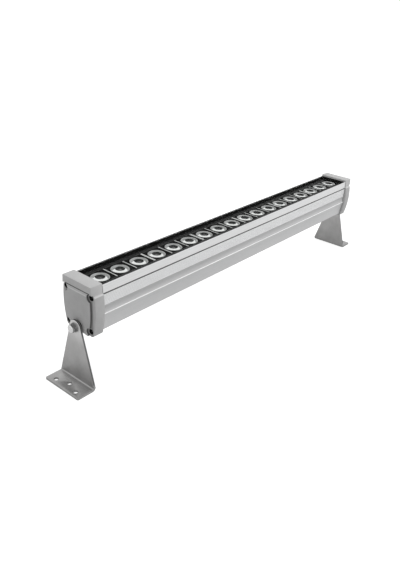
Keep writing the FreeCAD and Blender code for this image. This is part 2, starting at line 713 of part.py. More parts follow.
def make_screw_sleeve(y, z):
    """A black rubber cup that lines the screw's pocket and seals under its head."""
    outer = rod(POCKET_FLOOR, CAP_RIM, POCKET_RADIUS, y, z)
    room = rod(POCKET_FLOOR + SLEEVE_FLOOR, CAP_RIM, POCKET_RADIUS - SLEEVE_WALL, y, z)
    hole = rod(POCKET_FLOOR, CAP_RIM, SCREW_HOLE_RADIUS, y, z)
    return outer.cut([room, hole])


# ---------------------------------------------------------------- brackets and pivots
def foot_hole_places():
    """Two holes near the flange's edge, and one between them that is nearer the upright."""
    outer = FLANGE_EDGE - FOOT_HOLE_EDGE
    half = FOOT_HOLE_SPACING / 2
    return [(outer, -half), (outer, half), (FLANGE_EDGE - FOOT_CENTRE_HOLE_EDGE, 0.0)]


def bracket_upright():
    """A plate whose straight sides run from the bend to a round head about the pivot."""
    half = BRACKET_BASE_WIDTH / 2
    drop = PIVOT_HEIGHT - BEND_OUTER_RADIUS
    reach = math.hypot(half, drop)
    direction = math.atan2(drop, -half) - math.asin(BRACKET_HEAD_RADIUS / reach)
    run = math.sqrt(reach**2 - BRACKET_HEAD_RADIUS**2)
    touch_y = half + run * math.cos(direction)
    touch_z = BEND_OUTER_RADIUS + run * math.sin(direction)
    crown = (0.0, PIVOT_HEIGHT + BRACKET_HEAD_RADIUS)
    start = (half, BEND_OUTER_RADIUS)
    steps = [(touch_y, touch_z), (crown, (-touch_y, touch_z)), (-half, BEND_OUTER_RADIUS), start]
    return prism(Part.Face(Part.Wire(path_edges(start, steps))), PLATE_INNER, PLATE_OUTER)


def bracket_bend():
    """A quarter of a tube: it turns the upright outwards into the flange."""
    centre_x = PLATE_OUTER + BEND_INNER_RADIUS
    width = (-BRACKET_BASE_WIDTH / 2, BRACKET_BASE_WIDTH / 2)
    start = Vector(centre_x, width[0], BEND_OUTER_RADIUS)
    tube = Part.makeCylinder(BEND_OUTER_RADIUS, BRACKET_BASE_WIDTH, start, Vector(0, 1, 0))
    tube = tube.cut(Part.makeCylinder(BEND_INNER_RADIUS, BRACKET_BASE_WIDTH, start, Vector(0, 1, 0)))
    return tube.common(block((PLATE_INNER, centre_x), width, (0, BEND_OUTER_RADIUS)))


def bracket_flange():
    """The foot that is screwed down, with its two outer corners rounded."""
    half = BRACKET_BASE_WIDTH / 2
    flange = block((PLATE_OUTER + BEND_INNER_RADIUS, FLANGE_EDGE), (-half, half), (0, PLATE_THICKNESS))
    at_edge = edges_on(flange, FLANGE_EDGE)
    corners = [edge for edge in at_edge if edge.BoundBox.ZLength > PLATE_THICKNESS / 2]
    return flange.makeFillet(FLANGE_CORNER_RADIUS, corners)


def make_right_bracket():
    """An L bent from plate, with a hole for the pivot and three for the foot's screws."""
    bracket = bracket_upright().fuse([bracket_bend(), bracket_flange()]).removeSplitter()
    holes = [rod(PLATE_INNER, PLATE_OUTER, BOLT_RADIUS + BOLT_CLEARANCE, 0, PIVOT_HEIGHT)]
    for x, y in foot_hole_places():
        holes.append(post(0, PLATE_THICKNESS, FOOT_HOLE_RADIUS, x, y))
    return bracket.cut(holes)


def pivot_ring(x_start, x_end, radius):
    """A flat ring round the pivot bolt."""
    whole = rod(x_start, x_end, radius, 0, PIVOT_HEIGHT)
    return whole.cut(rod(x_start, x_end, BOLT_RADIUS + WASHER_BORE_PLAY, 0, PIVOT_HEIGHT))


def make_spring_washer():
    """A split lock washer, flat as it is when the bolt is tight."""
    washer = pivot_ring(WASHER_OUTER, HEAD_SEAT, SPRING_WASHER_RADIUS)
    half = SPRING_WASHER_SLIT / 2
    rise = (PIVOT_HEIGHT, PIVOT_HEIGHT + SPRING_WASHER_RADIUS)
    return washer.cut(block((WASHER_OUTER, HEAD_SEAT), (-half, half), rise))


def make_pivot_bolt():
    """A hexagon-head bolt: its shank carries the bracket and screws into the cap."""
    top = HEAD_SEAT + BOLT_HEAD_HEIGHT
    corner = BOLT_HEX_FLATS / math.sqrt(3)
    slope = corner - BOLT_HEX_FLATS / 2 + BOLT_HEAD_CHAMFER
    shank = rod(CAP_OUTER - BOLT_ENGAGEMENT, HEAD_SEAT, BOLT_RADIUS, 0, PIVOT_HEIGHT)
    base = Vector(top - slope, 0, PIVOT_HEIGHT)
    turned = Part.makeCone(corner, corner - slope, slope, base, Vector(1, 0, 0))
    turned = turned.fuse(rod(HEAD_SEAT, top - slope, corner, 0, PIVOT_HEIGHT))
    head = hexagon(HEAD_SEAT, top, BOLT_HEX_FLATS, PIVOT_HEIGHT).common(turned)
    return shank.fuse(head)


# ---------------------------------------------------------------- cable gland
def make_gland_body():
    """A hexagon collar on the cap's face, a thread through the face and a neck for the nut."""
    thread = rod(GLAND_THREAD_START, CAP_OUTER, GLAND_THREAD_RADIUS, 0, GLAND_HEIGHT)
    collar = hexagon(CAP_OUTER, GLAND_COLLAR_END, GLAND_HEX_FLATS, GLAND_HEIGHT)
    neck = rod(GLAND_COLLAR_END, GLAND_NECK_END, GLAND_NECK_RADIUS, 0, GLAND_HEIGHT)
    bore = rod(GLAND_THREAD_START, GLAND_NECK_END, GLAND_BORE_RADIUS, 0, GLAND_HEIGHT)
    return thread.fuse([collar, neck]).cut(bore)


def make_gland_nut():
    """The domed nut with grip flutes; the bush shows in its nose."""
    nut = rod(GLAND_COLLAR_END, GLAND_NOSE, GLAND_NUT_RADIUS, 0, GLAND_HEIGHT)
    nut = nut.makeFillet(GLAND_NOSE_ROUND, edges_on(nut, GLAND_NOSE))
    neck_radius = GLAND_NECK_RADIUS + GLAND_THREAD_CLEARANCE
    hollows = [
        rod(GLAND_COLLAR_END, GLAND_NECK_END, neck_radius, 0, GLAND_HEIGHT),
        rod(GLAND_COLLAR_END, GLAND_NOSE, GLAND_BORE_RADIUS, 0, GLAND_HEIGHT),
    ]
    flute_circle = GLAND_NUT_RADIUS + GLAND_FLUTE_OFFSET
    for index in range(GLAND_FLUTES):
        angle = 2 * math.pi * index / GLAND_FLUTES
        y = flute_circle * math.cos(angle)
        z = GLAND_HEIGHT + flute_circle * math.sin(angle)
        hollows.append(rod(GLAND_COLLAR_END, GLAND_NECK_END, GLAND_FLUTE_RADIUS, y, z))
    return nut.cut(hollows)


def make_gland_bush():
    """The rubber bush that grips the cable inside the gland."""
    bush = rod(CAP_OUTER, GLAND_NOSE, GLAND_BORE_RADIUS, 0, GLAND_HEIGHT)
    return bush.cut(rod(CAP_OUTER, GLAND_NOSE, GLAND_BUSH_BORE, 0, GLAND_HEIGHT))


def make_gland_locknut():
    nut = hexagon(GLAND_THREAD_START, CAVITY_END, GLAND_LOCKNUT_FLATS, GLAND_HEIGHT)
    radius = GLAND_THREAD_RADIUS + GLAND_THREAD_CLEARANCE
    return nut.cut(rod(GLAND_THREAD_START, CAVITY_END, radius, 0, GLAND_HEIGHT))


# ---------------------------------------------------------------- driver
def make_driver_pad():
    half = DRIVER_WIDTH / 2
    return block((DRIVER_LEFT, DRIVER_RIGHT), (-half, half), (CHAMBER_FLOOR, DRIVER_BOTTOM))


def input_lead_offsets():
    """The sideways places of the wires between the terminal block and the driver."""
    return [(index - (TERMINAL_WAYS - 1) / 2) * TERMINAL_WAY_PITCH for index in range(TERMINAL_WAYS)]


def make_driver_case():
    """A tray with four posts that carry the board, and holes for the supply wires."""
    half = DRIVER_WIDTH / 2
    floor = DRIVER_BOTTOM + DRIVER_WALL
    tray = block((DRIVER_LEFT, DRIVER_RIGHT), (-half, half), (DRIVER_BOTTOM, DRIVER_LID_UNDERSIDE))
    room = block(
        (DRIVER_LEFT + DRIVER_WALL, DRIVER_RIGHT - DRIVER_WALL),
        (-DRIVER_INNER_HALF, DRIVER_INNER_HALF),
        (floor, DRIVER_LID_UNDERSIDE),
    )
    post_y = DRIVER_INNER_HALF - DRIVER_POST_INSET
    posts = []
    post_inset = DRIVER_WALL + DRIVER_POST_INSET
    for x in (DRIVER_LEFT + post_inset, DRIVER_RIGHT - post_inset):
        for y in (-post_y, post_y):
            posts.append(post(floor, DRIVER_BOARD_BOTTOM, DRIVER_POST_RADIUS, x, y))
    hole = LEAD_RADIUS + LEAD_CLEARANCE
    wall = (DRIVER_RIGHT - DRIVER_WALL, DRIVER_RIGHT)
    wire_holes = [rod(*wall, hole, y, INPUT_LEAD_HEIGHT) for y in input_lead_offsets()]
    return tray.cut([room] + wire_holes).fuse(posts)


def make_driver_lid():
    half = DRIVER_WIDTH / 2
    height = (DRIVER_LID_UNDERSIDE, DRIVER_TOP)
    lid = block((DRIVER_LEFT, DRIVER_RIGHT), (-half, half), height)
    radius = LEAD_RADIUS + LEAD_CLEARANCE
    return lid.cut([post(*height, radius, x, y) for x, y in lead_places(DRIVER_LEAD_OFFSET)])


def make_driver_board():
    inset = DRIVER_WALL + DRIVER_BOARD_GAP
    x_range = (DRIVER_LEFT + inset, DRIVER_RIGHT - inset)
    y_range = (-DRIVER_BOARD_HALF, DRIVER_BOARD_HALF)
    return block(x_range, y_range, (DRIVER_BOARD_BOTTOM, DRIVER_BOARD_TOP))


def make_transformer():
    """A core with its winding set back in a window at each side."""
    half = TRANSFORMER_LENGTH / 2
    side = TRANSFORMER_WIDTH / 2
    top = DRIVER_BOARD_TOP + TRANSFORMER_HEIGHT
    core = block((DRIVER_MIDDLE - half, DRIVER_MIDDLE + half), (-side, side), (DRIVER_BOARD_TOP, top))
    window_x = (DRIVER_MIDDLE - half + CORE_LEG, DRIVER_MIDDLE + half - CORE_LEG)
    window_z = (DRIVER_BOARD_TOP + CORE_YOKE, top - CORE_YOKE)
    window = block(window_x, (side - CORE_WINDOW_DEPTH, side), window_z)
    return core.cut([window, mirror_y(window)])


def make_capacitors():
    """A row of upright round capacitors beside the transformer."""
    top = DRIVER_BOARD_TOP + CAPACITOR_HEIGHT
    first = DRIVER_MIDDLE + TRANSFORMER_LENGTH / 2 + CAPACITOR_PITCH
    places = [first + index * CAPACITOR_PITCH for index in range(CAPACITOR_COUNT)]
    return group([post(DRIVER_BOARD_TOP, top, CAPACITOR_RADIUS, x) for x in places])


def make_terminal_block():
    """Where the supply cable is wired, on the chamber's floor beside the driver."""
    right = TERMINAL_LEFT + TERMINAL_LENGTH
    half = TERMINAL_WIDTH / 2
    top = CHAMBER_FLOOR + TERMINAL_HEIGHT
    body = block((TERMINAL_LEFT, right), (-half, half), (CHAMBER_FLOOR, top))
    middle_x = (TERMINAL_LEFT + right) / 2
    entry = (right - TERMINAL_ENTRY_DEPTH, right)
    holes = []
    for y in input_lead_offsets():
        holes.append(rod(*entry, TERMINAL_ENTRY_RADIUS, y, INPUT_LEAD_HEIGHT))
        holes.append(post(top - TERMINAL_SCREW_DEPTH, top, TERMINAL_SCREW_RADIUS, middle_x, y))
    return body.cut(holes)


def make_output_lead(side):
    """A stiff wire from the driver's board to the last light board, led across above the lid."""
    stations = [
        (DRIVER_LEAD_OFFSET, DRIVER_BOARD_TOP),
        (DRIVER_LEAD_OFFSET, DRIVER_TOP + LEAD_BEND_ROOM),
        (LEAD_OFFSET, SHELF_UNDERSIDE - LEAD_BEND_ROOM),
        (LEAD_OFFSET, BOARD_TOP + LEAD_STANDS_PROUD),
    ]
    rings = [Part.makeCircle(LEAD_RADIUS, Vector(LEAD_X, side * y, z)) for y, z in stations]
    return Part.makeLoft([Part.Wire(ring) for ring in rings], True, True)


def make_output_leads():
    return group([make_output_lead(side) for side in (-1, 1)])


def make_input_leads():
    """The wires from the terminal block into the driver."""
    ends = (DRIVER_RIGHT - INPUT_LEAD_LENGTH, TERMINAL_LEFT)
    return group([rod(*ends, LEAD_RADIUS, y, INPUT_LEAD_HEIGHT) for y in input_lead_offsets()])


# ---------------------------------------------------------------- all the pieces
def collect_pieces():
    """Every node of the lamp by name."""
    pieces = {
        "housing": make_housing(),
        "glass_cover": make_glass(),
        "glass_seal": make_glass_seal(),
        "thermal_pad": make_thermal_pad(),
        "led_emitters": group([make_emitter(led_x(index)) for index in range(LED_COUNT)]),
        "divider_blades": make_blades(),
        "rear_glare_rail": make_glare_rail(),
        "front_glare_rail": mirror_y(make_glare_rail()),
        "board_screws": make_board_screws(),
        "board_links": make_board_links(),
        "left_end_cap": mirror_x(make_left_cap()),
        "right_end_cap": make_right_cap(),
        "gland_body": make_gland_body(),
        "gland_nut": make_gland_nut(),
        "gland_bush": make_gland_bush(),
        "gland_locknut": make_gland_locknut(),
        "driver_pad": make_driver_pad(),
        "driver_case": make_driver_case(),
        "driver_lid": make_driver_lid(),
        "driver_board": make_driver_board(),
        "driver_transformer": make_transformer(),
        "driver_capacitors": make_capacitors(),
        "terminal_block": make_terminal_block(),
        "output_leads": make_output_leads(),
        "input_leads": make_input_leads(),
    }
    for index in range(BOARD_COUNT):
        number = index + 1
        pieces[f"led_board_{number}"] = make_board(index)
        pieces[f"lens_holders_{number}"] = group([make_holder(x) for x in lights_of(index)])
        pieces[f"lenses_{number}"] = group([make_lens(x) for x in lights_of(index)])
    twins = {
        "gasket": make_gasket(),
        "cap_screws": group([make_cap_screw(y, z) for y, z in SCREW_PLACES]),
        "screw_sleeves": group([make_screw_sleeve(y, z) for y, z in SCREW_PLACES]),
        "bracket": make_right_bracket(),
        "spacer": pivot_ring(CAP_OUTER, SPACER_OUTER, SPACER_RADIUS),
        "washer": pivot_ring(WASHER_INNER, WASHER_OUTER, WASHER_RADIUS),
        "spring_washer": make_spring_washer(),
        "pivot_bolt": make_pivot_bolt(),
    }
    for name, shape in twins.items():
        pieces[f"right_{name}"] = shape
        pieces[f"left_{name}"] = mirror_x(shape)
    return pieces


def main():
    os.makedirs("parts", exist_ok=True)
    for name, shape in collect_pieces().items():
        shape.exportStep(f"parts/{name}.step")
        print(f"{name}: {len(shape.Solids)} solids, {shape.Volume:.1f} mm3, valid {shape.isValid()}")


main()
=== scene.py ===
# %% [markdown]
# # An outdoor wall washer light
#
# A wall washer is a slim bar of light that lies at the foot of a wall and floods it with an even
# glow. This one is an aluminium extrusion with eighteen lensed lights under flat glass, a cast cap
# at each end, and two feet bent from plate on which the bar tilts.
#
# The exact shapes come from a solid model that is loaded first and never changed. This lesson
# gives them their looks: rounded edges, moulded lenses and a finish for every material. All sizes
# are in metres, X runs along the bar, the long side that faces us is -Y, and Z is up.

# %% Load the solid model
import json
import math

import bmesh
import bpy
from mathutils import Euler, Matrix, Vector

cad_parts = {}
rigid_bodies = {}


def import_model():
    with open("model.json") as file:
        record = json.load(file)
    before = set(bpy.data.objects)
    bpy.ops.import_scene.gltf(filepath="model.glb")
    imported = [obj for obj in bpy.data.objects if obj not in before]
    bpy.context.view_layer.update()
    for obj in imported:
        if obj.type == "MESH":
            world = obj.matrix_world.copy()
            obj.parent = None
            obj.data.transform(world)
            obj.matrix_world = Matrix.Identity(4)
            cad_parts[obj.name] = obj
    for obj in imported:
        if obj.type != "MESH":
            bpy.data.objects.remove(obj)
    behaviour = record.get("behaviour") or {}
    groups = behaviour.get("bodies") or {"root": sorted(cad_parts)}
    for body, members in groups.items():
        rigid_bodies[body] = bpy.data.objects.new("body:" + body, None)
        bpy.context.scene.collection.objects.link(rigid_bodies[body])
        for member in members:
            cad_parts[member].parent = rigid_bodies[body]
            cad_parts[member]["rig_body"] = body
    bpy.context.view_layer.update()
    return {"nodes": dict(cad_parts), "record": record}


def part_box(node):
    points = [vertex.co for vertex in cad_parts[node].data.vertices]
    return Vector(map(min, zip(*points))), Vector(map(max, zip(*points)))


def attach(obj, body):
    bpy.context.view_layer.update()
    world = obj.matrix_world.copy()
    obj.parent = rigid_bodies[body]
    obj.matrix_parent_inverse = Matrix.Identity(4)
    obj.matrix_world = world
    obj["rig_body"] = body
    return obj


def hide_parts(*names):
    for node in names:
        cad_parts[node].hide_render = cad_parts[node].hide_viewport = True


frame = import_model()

nodes = frame["nodes"]
slot_of = {part["node"]: part["material_slot"] for part in frame["record"]["subparts"]}
MM = 0.001

# %% [markdown]
# ## The camera
#
# The photograph looks down on the bar from its near left end. Its viewpoint was found by matching
# measured points of the picture to the known sizes of the bar, which gives a place, a direction
# and a focal length together. The slight roll belongs to the photograph too. A camera object needs
# only these values, because the picture's size is set elsewhere.

# %% Set up the camera
CAMERA_PLACE = Vector((-0.5567, -0.3911, 0.3663))
CAMERA_TURN = [math.radians(angle) for angle in (62.49, -3.12, -49.76)]
FOCAL_LENGTH = 37.54
SENSOR_SIZE = 36.0
SIGHT = 100.0

camera_data = bpy.data.cameras.new("photo_camera")
camera_data.lens = FOCAL_LENGTH
camera_data.sensor_width = SENSOR_SIZE
camera_data.clip_end = SIGHT
camera = bpy.data.objects.new("photo_camera", camera_data)
camera.location = CAMERA_PLACE
camera.rotation_euler = Euler(CAMERA_TURN)
bpy.context.scene.collection.objects.link(camera)
bpy.context.scene.camera = camera
bpy.context.scene.view_settings.view_transform = "Standard"
print("camera", round(CAMERA_PLACE.length, 3), "m from the middle of the bar")

# %% [markdown]
# ## Floor and light
#
# A product picture like this is taken on a white sweep under soft light. The floor is a pale plane
# that takes a faint shadow. To the camera it also glows, so that it comes out white without any
# extra light on the bar. Metal sees less of that glow, because a floor that faces the bar's shaded
# side is darker than the rest of the sweep.
#
# The world does the same: it is white where the camera or a reflection sees it, and a plain even
# grey for everything else. A picture of a studio could light the bar too, but two soft lamps and an
# even world are easier to hold at a plain level.

# %% Helpers for node trees
def add_node(tree, kind, **values):
    """A new node, with its properties set by name."""
    node = tree.nodes.new(kind)
    for key, value in values.items():
        setattr(node, key, value)
    return node


def math_node(tree, operation, first, second):
    """The result of one sum on two values, each a number or a socket."""
    node = add_node(tree, "ShaderNodeMath", operation=operation)
    for socket, value in zip(node.inputs, (first, second)):
        if isinstance(value, (int, float)):
            socket.default_value = value
        else:
            tree.links.new(value, socket)
    return node.outputs[0]


def map_range(tree, value, low, high, to_low, to_high):
    """A value moved from one range to another, and kept inside it."""
    node = add_node(tree, "ShaderNodeMapRange", clamp=True)
    tree.links.new(value, node.inputs["Value"])
    for name, number in (("From Min", low), ("From Max", high), ("To Min", to_low), ("To Max", to_high)):
        node.inputs[name].default_value = number
    return node.outputs["Result"]


def mirror_rays(tree, path):
    """One for a reflected or refracted ray, otherwise nothing."""
    return math_node(tree, "MAXIMUM", path.outputs["Is Glossy Ray"], path.outputs["Is Transmission Ray"])


# %% Make the floor
FLOOR_SIZE = 60.0
FLOOR_GREY = 0.55
FLOOR_GLOW = 0.80
GLOW_IN_METAL = 0.30

floor_mesh = bpy.data.meshes.new("floor")
floor_shape = bmesh.new()
bmesh.ops.create_grid(floor_shape, x_segments=1, y_segments=1, size=FLOOR_SIZE / 2)
floor_shape.to_mesh(floor_mesh)
floor_shape.free()
floor = bpy.data.objects.new("floor", floor_mesh)
bpy.context.scene.collection.objects.link(floor)

floor_finish = bpy.data.materials.new("pale_floor")
floor_finish.use_nodes = True
floor_tree = floor_finish.node_tree
floor_tree.nodes.clear()
floor_path = add_node(floor_tree, "ShaderNodeLightPath")
seen_straight = math_node(floor_tree, "MULTIPLY", floor_path.outputs["Is Camera Ray"], FLOOR_GLOW)
seen_mirrored = math_node(floor_tree, "MULTIPLY", mirror_rays(floor_tree, floor_path), GLOW_IN_METAL)
glow = add_node(floor_tree, "ShaderNodeEmission")
glow_level = math_node(floor_tree, "MAXIMUM", seen_straight, seen_mirrored)
floor_tree.links.new(glow_level, glow.inputs["Strength"])
matt = add_node(floor_tree, "ShaderNodeBsdfDiffuse")
matt.inputs["Color"].default_value = (FLOOR_GREY, FLOOR_GREY, FLOOR_GREY, 1)
both = add_node(floor_tree, "ShaderNodeAddShader")
floor_tree.links.new(glow.outputs[0], both.inputs[0])
floor_tree.links.new(matt.outputs[0], both.inputs[1])
floor_out = add_node(floor_tree, "ShaderNodeOutputMaterial")
floor_tree.links.new(both.outputs[0], floor_out.inputs["Surface"])
floor_mesh.materials.append(floor_finish)
print("floor", FLOOR_SIZE, "m wide")

# %% Make the white world
AMBIENT = 0.55

world = bpy.data.worlds.new("studio")
world.use_nodes = True
bpy.context.scene.world = world
sky = world.node_tree
sky.nodes.clear()
sky_path = add_node(sky, "ShaderNodeLightPath")
shown = math_node(sky, "MAXIMUM", sky_path.outputs["Is Camera Ray"], mirror_rays(sky, sky_path))
level = map_range(sky, shown, 0.0, 1.0, AMBIENT, 1.0)
backdrop = add_node(sky, "ShaderNodeBackground")
backdrop.inputs["Color"].default_value = (1, 1, 1, 1)
sky.links.new(level, backdrop.inputs["Strength"])
sky_out = add_node(sky, "ShaderNodeOutputWorld")
sky.links.new(backdrop.outputs[0], sky_out.inputs["Surface"])
print("world: white to the eye,", AMBIENT, "to everything else")

# %% Hang the softboxes
def softbox(name, place, target, size, power, in_reflections):
    """A square lamp that faces a point of the bar."""
    data = bpy.data.lights.new(name, "AREA")
    data.size = size
    data.energy = power
    lamp = bpy.data.objects.new(name, data)
    lamp.location = Vector(place)
    lamp.rotation_euler = (Vector(target) - lamp.location).to_track_quat("-Z", "Y").to_euler()
    lamp.visible_glossy = in_reflections
    bpy.context.scene.collection.objects.link(lamp)
    print(name, power, "W")


MIDDLE = (0.0, 0.0, 0.08)
softbox("top_softbox", (0.1, -0.3, 2.2), MIDDLE, size=1.6, power=12.4, in_reflections=False)
softbox("side_softbox", (1.4, -1.8, 0.75), MIDDLE, size=1.1, power=9.0, in_reflections=True)

# %% [markdown]
# ## Finishes
#
# Every finish starts from one shader. What makes it look real is small unevenness at the right
# scale: grain, patches of slightly different grey, and a gloss that varies. All of it comes from
# noise in the object's own coordinates, in metres, so it sticks to the piece when the bar tilts.
# Pictures of real metal would do as well, but they need a seam and a scale for every piece.

# %% Helpers for finishes
NOISE_LOW = 0.3
NOISE_HIGH = 0.7


def start_finish(name, roughness, metallic=0.0, ior=1.45):
    """A material with its node tree and its shader."""
    finish = bpy.data.materials.new(name)
    finish.use_nodes = True
    shader = finish.node_tree.nodes["Principled BSDF"]
    shader.inputs["Roughness"].default_value = roughness
    shader.inputs["Metallic"].default_value = metallic
    shader.inputs["IOR"].default_value = ior
    print("finish", name)
    return finish, finish.node_tree, shader


def noise(tree, grain, stretch=(1.0, 1.0, 1.0), detail=3.0):
    """Noise whose grain has this size in metres. A stretch above one draws it out along an axis."""
    place = add_node(tree, "ShaderNodeTexCoord")
    mapping = add_node(tree, "ShaderNodeMapping")
    mapping.inputs["Scale"].default_value = [1.0 / factor for factor in stretch]
    tree.links.new(place.outputs["Object"], mapping.inputs["Vector"])
    texture = add_node(tree, "ShaderNodeTexNoise")
    texture.inputs["Scale"].default_value = 1.0 / grain
    texture.inputs["Detail"].default_value = detail
    tree.links.new(mapping.outputs[0], texture.inputs["Vector"])
    return texture.outputs["Fac"]


def blend_colours(tree, factor, first, second):
    """A mix of two colours, each a tuple or a socket."""
    node = add_node(tree, "ShaderNodeMix", data_type="RGBA")
    tree.links.new(factor, node.inputs["Factor"])
    for socket, colour in ((node.inputs["A"], first), (node.inputs["B"], second)):
        if isinstance(colour, tuple):
            socket.default_value = (*colour, 1.0)
        else:
            tree.links.new(colour, socket)
    return node.outputs["Result"]


def patches_of(tree, factor):
    """The middle part of the noise, drawn out from nothing to one."""
    return map_range(tree, factor, NOISE_LOW, NOISE_HIGH, 0.0, 1.0)


def uneven_colour(tree, shader, factor, dark, light):
    """Patches of two colours."""
    tree.links.new(blend_colours(tree, patches_of(tree, factor), dark, light), shader.inputs["Base Color"])


def uneven_gloss(tree, shader, factor, smooth, rough):
    """Roughness that drifts between two values."""
    drift = map_range(tree, factor, NOISE_LOW, NOISE_HIGH, smooth, rough)
    tree.links.new(drift, shader.inputs["Roughness"])


def raise_grain(tree, shader, factor, height, strength=1.0):
    """Bump the surface by a height in metres."""
    bump = add_node(tree, "ShaderNodeBump")
    bump.inputs["Distance"].default_value = height
    bump.inputs["Strength"].default_value = strength
    tree.links.new(factor, bump.inputs["Height"])
    tree.links.new(bump.outputs[0], shader.inputs["Normal"])


def grey(level, warmth=0.0):
    """A grey with a touch of warmth or, below nothing, of cold."""
    return (level * (1 + warmth), level, level * (1 - warmth))


# %% Helpers for zones of a piece
ZONE_BLUR = 0.1 * MM


def place_of(tree):
    """The X, Y and Z of a point in the object's own coordinates, as three sockets."""
    place = add_node(tree, "ShaderNodeTexCoord")
    parts = add_node(tree, "ShaderNodeSeparateXYZ")
    tree.links.new(place.outputs["Object"], parts.inputs[0])
    return parts.outputs["X"], parts.outputs["Y"], parts.outputs["Z"]


def from_middle(tree, value):
    """How far a point lies from the middle plane, on either side."""
    return math_node(tree, "ABSOLUTE", value, 0.0)


def between(tree, value, low, high, blur=ZONE_BLUR):
    """One between two limits and nothing outside them, with a soft change."""
    above = map_range(tree, value, low - blur, low + blur, 0.0, 1.0)
    below = map_range(tree, value, high - blur, high + blur, 1.0, 0.0)
    return math_node(tree, "MULTIPLY", above, below)


def paint_zones(tree, colour, zones):
    """Lay one shade after another over a colour, each where its zone is one."""
    for zone, shade in zones:
        colour = blend_colours(tree, zone, colour, shade)
    return colour


finishes = {}

# %% [markdown]
# ### Anodised extrusion
#
# The die leaves fine lines along an extrusion, and anodising turns the metal into a satin silver.
# The lines are noise drawn out a hundred times along X: they vary the gloss and bump the surface a
# little. Broad faint patches come from handling.
#
# Light alone hardly shows steps this fine, so the zones get painted light and shade of their own,
# by their heights on the section. The crests of the ribs and the thin ridge get a painted highlight.
# The hollows of the ribs, the cove and the panel below get a painted shade, the groove under the top
# band a nearly black painted shade, and the foot of the bar a dark line of painted shade. The cove
# is also rougher.

# %% Heights of the section's zones
BAND_HEIGHT = 8.8 * MM
GROOVE_HEIGHT = 1.1 * MM
RIBS_HEIGHT = 11.7 * MM
COVE_HEIGHT = 8.3 * MM
RIDGE_HEIGHT = 1.2 * MM
RIB_HALF = 20.8 * MM
FOOT_LINE = 0.7 * MM

HOUSING_FOOT, HOUSING_TOP = (corner.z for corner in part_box("housing"))
GROOVE_TOP = HOUSING_TOP - BAND_HEIGHT
RIB_TOP = GROOVE_TOP - GROOVE_HEIGHT
COVE_TOP = RIB_TOP - RIBS_HEIGHT
RIDGE_TOP = COVE_TOP - COVE_HEIGHT
RIDGE_FOOT = RIDGE_TOP - RIDGE_HEIGHT
print("ribs between", round(COVE_TOP / MM, 1), "and", round(RIB_TOP / MM, 1), "mm")

# %% Greys of the section's zones, most of them painted light and shade
SILVER_TINT = -0.004
SILVER_DARK = grey(0.76, SILVER_TINT)
SILVER_LIGHT = grey(0.82, SILVER_TINT)
LINE_GREY = grey(0.62, SILVER_TINT)
# Painted shade for the panel, the cove, the rib hollows, the groove and the foot; painted highlight for the
# crests and the ridge.
PANEL_PAINTED_SHADE = grey(0.62, SILVER_TINT)
COVE_PAINTED_SHADE = grey(0.55, SILVER_TINT)
RIB_PAINTED_SHADE = grey(0.62, SILVER_TINT)
CREST_PAINTED_HIGHLIGHT = grey(0.95, SILVER_TINT)
RIDGE_PAINTED_HIGHLIGHT = grey(0.84, SILVER_TINT)
GROOVE_PAINTED_SHADE = grey(0.05)
FOOT_PAINTED_SHADE = grey(0.42)

# %% Anodised extrusion
DRAWN_LINES = (100.0, 1.0, 1.0)
LINE_WIDTH = 0.4 * MM
LINE_HEIGHT = 0.01 * MM
LINE_LOW = 0.35
LINE_HIGH = 0.65
LINE_SHARE = 0.35
HANDLED_SIZE = 40 * MM
HANDLED_STRETCH = (3.0, 1.0, 1.0)
PANEL_SHADE_SHARE = 0.6
CREST_DEPTH = 0.3 * MM
CREST_SKIN = 0.1 * MM
SATIN_ROUGHNESS = (0.44, 0.56)
COVE_ROUGHER = 0.2


def anodised_extrusion():
    finish, tree, shader = start_finish("anodised_housing", 0.4, metallic=1.0)
    y, z = place_of(tree)[1:]
    lines = noise(tree, LINE_WIDTH, DRAWN_LINES)
    handled = patches_of(tree, noise(tree, HANDLED_SIZE, HANDLED_STRETCH))
    base = blend_colours(tree, handled, SILVER_DARK, SILVER_LIGHT)
    drawn = map_range(tree, lines, LINE_LOW, LINE_HIGH, 0.0, LINE_SHARE)
    # Painted shade: the panel below the ridge, the cove, the rib hollows, the groove and the foot are
    # darkened.
    panel = map_range(tree, z, RIDGE_FOOT - ZONE_BLUR, RIDGE_FOOT, PANEL_SHADE_SHARE, 0.0)
    cove = between(tree, z, RIDGE_TOP, COVE_TOP)
    ribs = between(tree, z, COVE_TOP, RIB_TOP)
    proud = map_range(tree, from_middle(tree, y), RIB_HALF - CREST_DEPTH, RIB_HALF - CREST_SKIN, 0.0, 1.0)
    # Painted highlight on the crests of the ribs and on the ridge.
    crests = math_node(tree, "MULTIPLY", proud, ribs)
    ridge = between(tree, z, RIDGE_FOOT, RIDGE_TOP)
    groove = between(tree, z, RIB_TOP, GROOVE_TOP)
    foot = between(tree, z, HOUSING_FOOT - FOOT_LINE, HOUSING_FOOT + FOOT_LINE)
    zones = (
        (drawn, LINE_GREY),
        (panel, PANEL_PAINTED_SHADE),
        (cove, COVE_PAINTED_SHADE),
        (ribs, RIB_PAINTED_SHADE),
        (crests, CREST_PAINTED_HIGHLIGHT),
        (ridge, RIDGE_PAINTED_HIGHLIGHT),
        (groove, GROOVE_PAINTED_SHADE),
        (foot, FOOT_PAINTED_SHADE),
    )
    tree.links.new(paint_zones(tree, base, zones), shader.inputs["Base Color"])
    satin = map_range(tree, lines, NOISE_LOW, NOISE_HIGH, *SATIN_ROUGHNESS)
    dull = math_node(tree, "MULTIPLY", cove, COVE_ROUGHER)
    tree.links.new(math_node(tree, "ADD", satin, dull), shader.inputs["Roughness"])
    raise_grain(tree, shader, lines, LINE_HEIGHT)
    return finish


finishes["anodised_housing"] = anodised_extrusion()
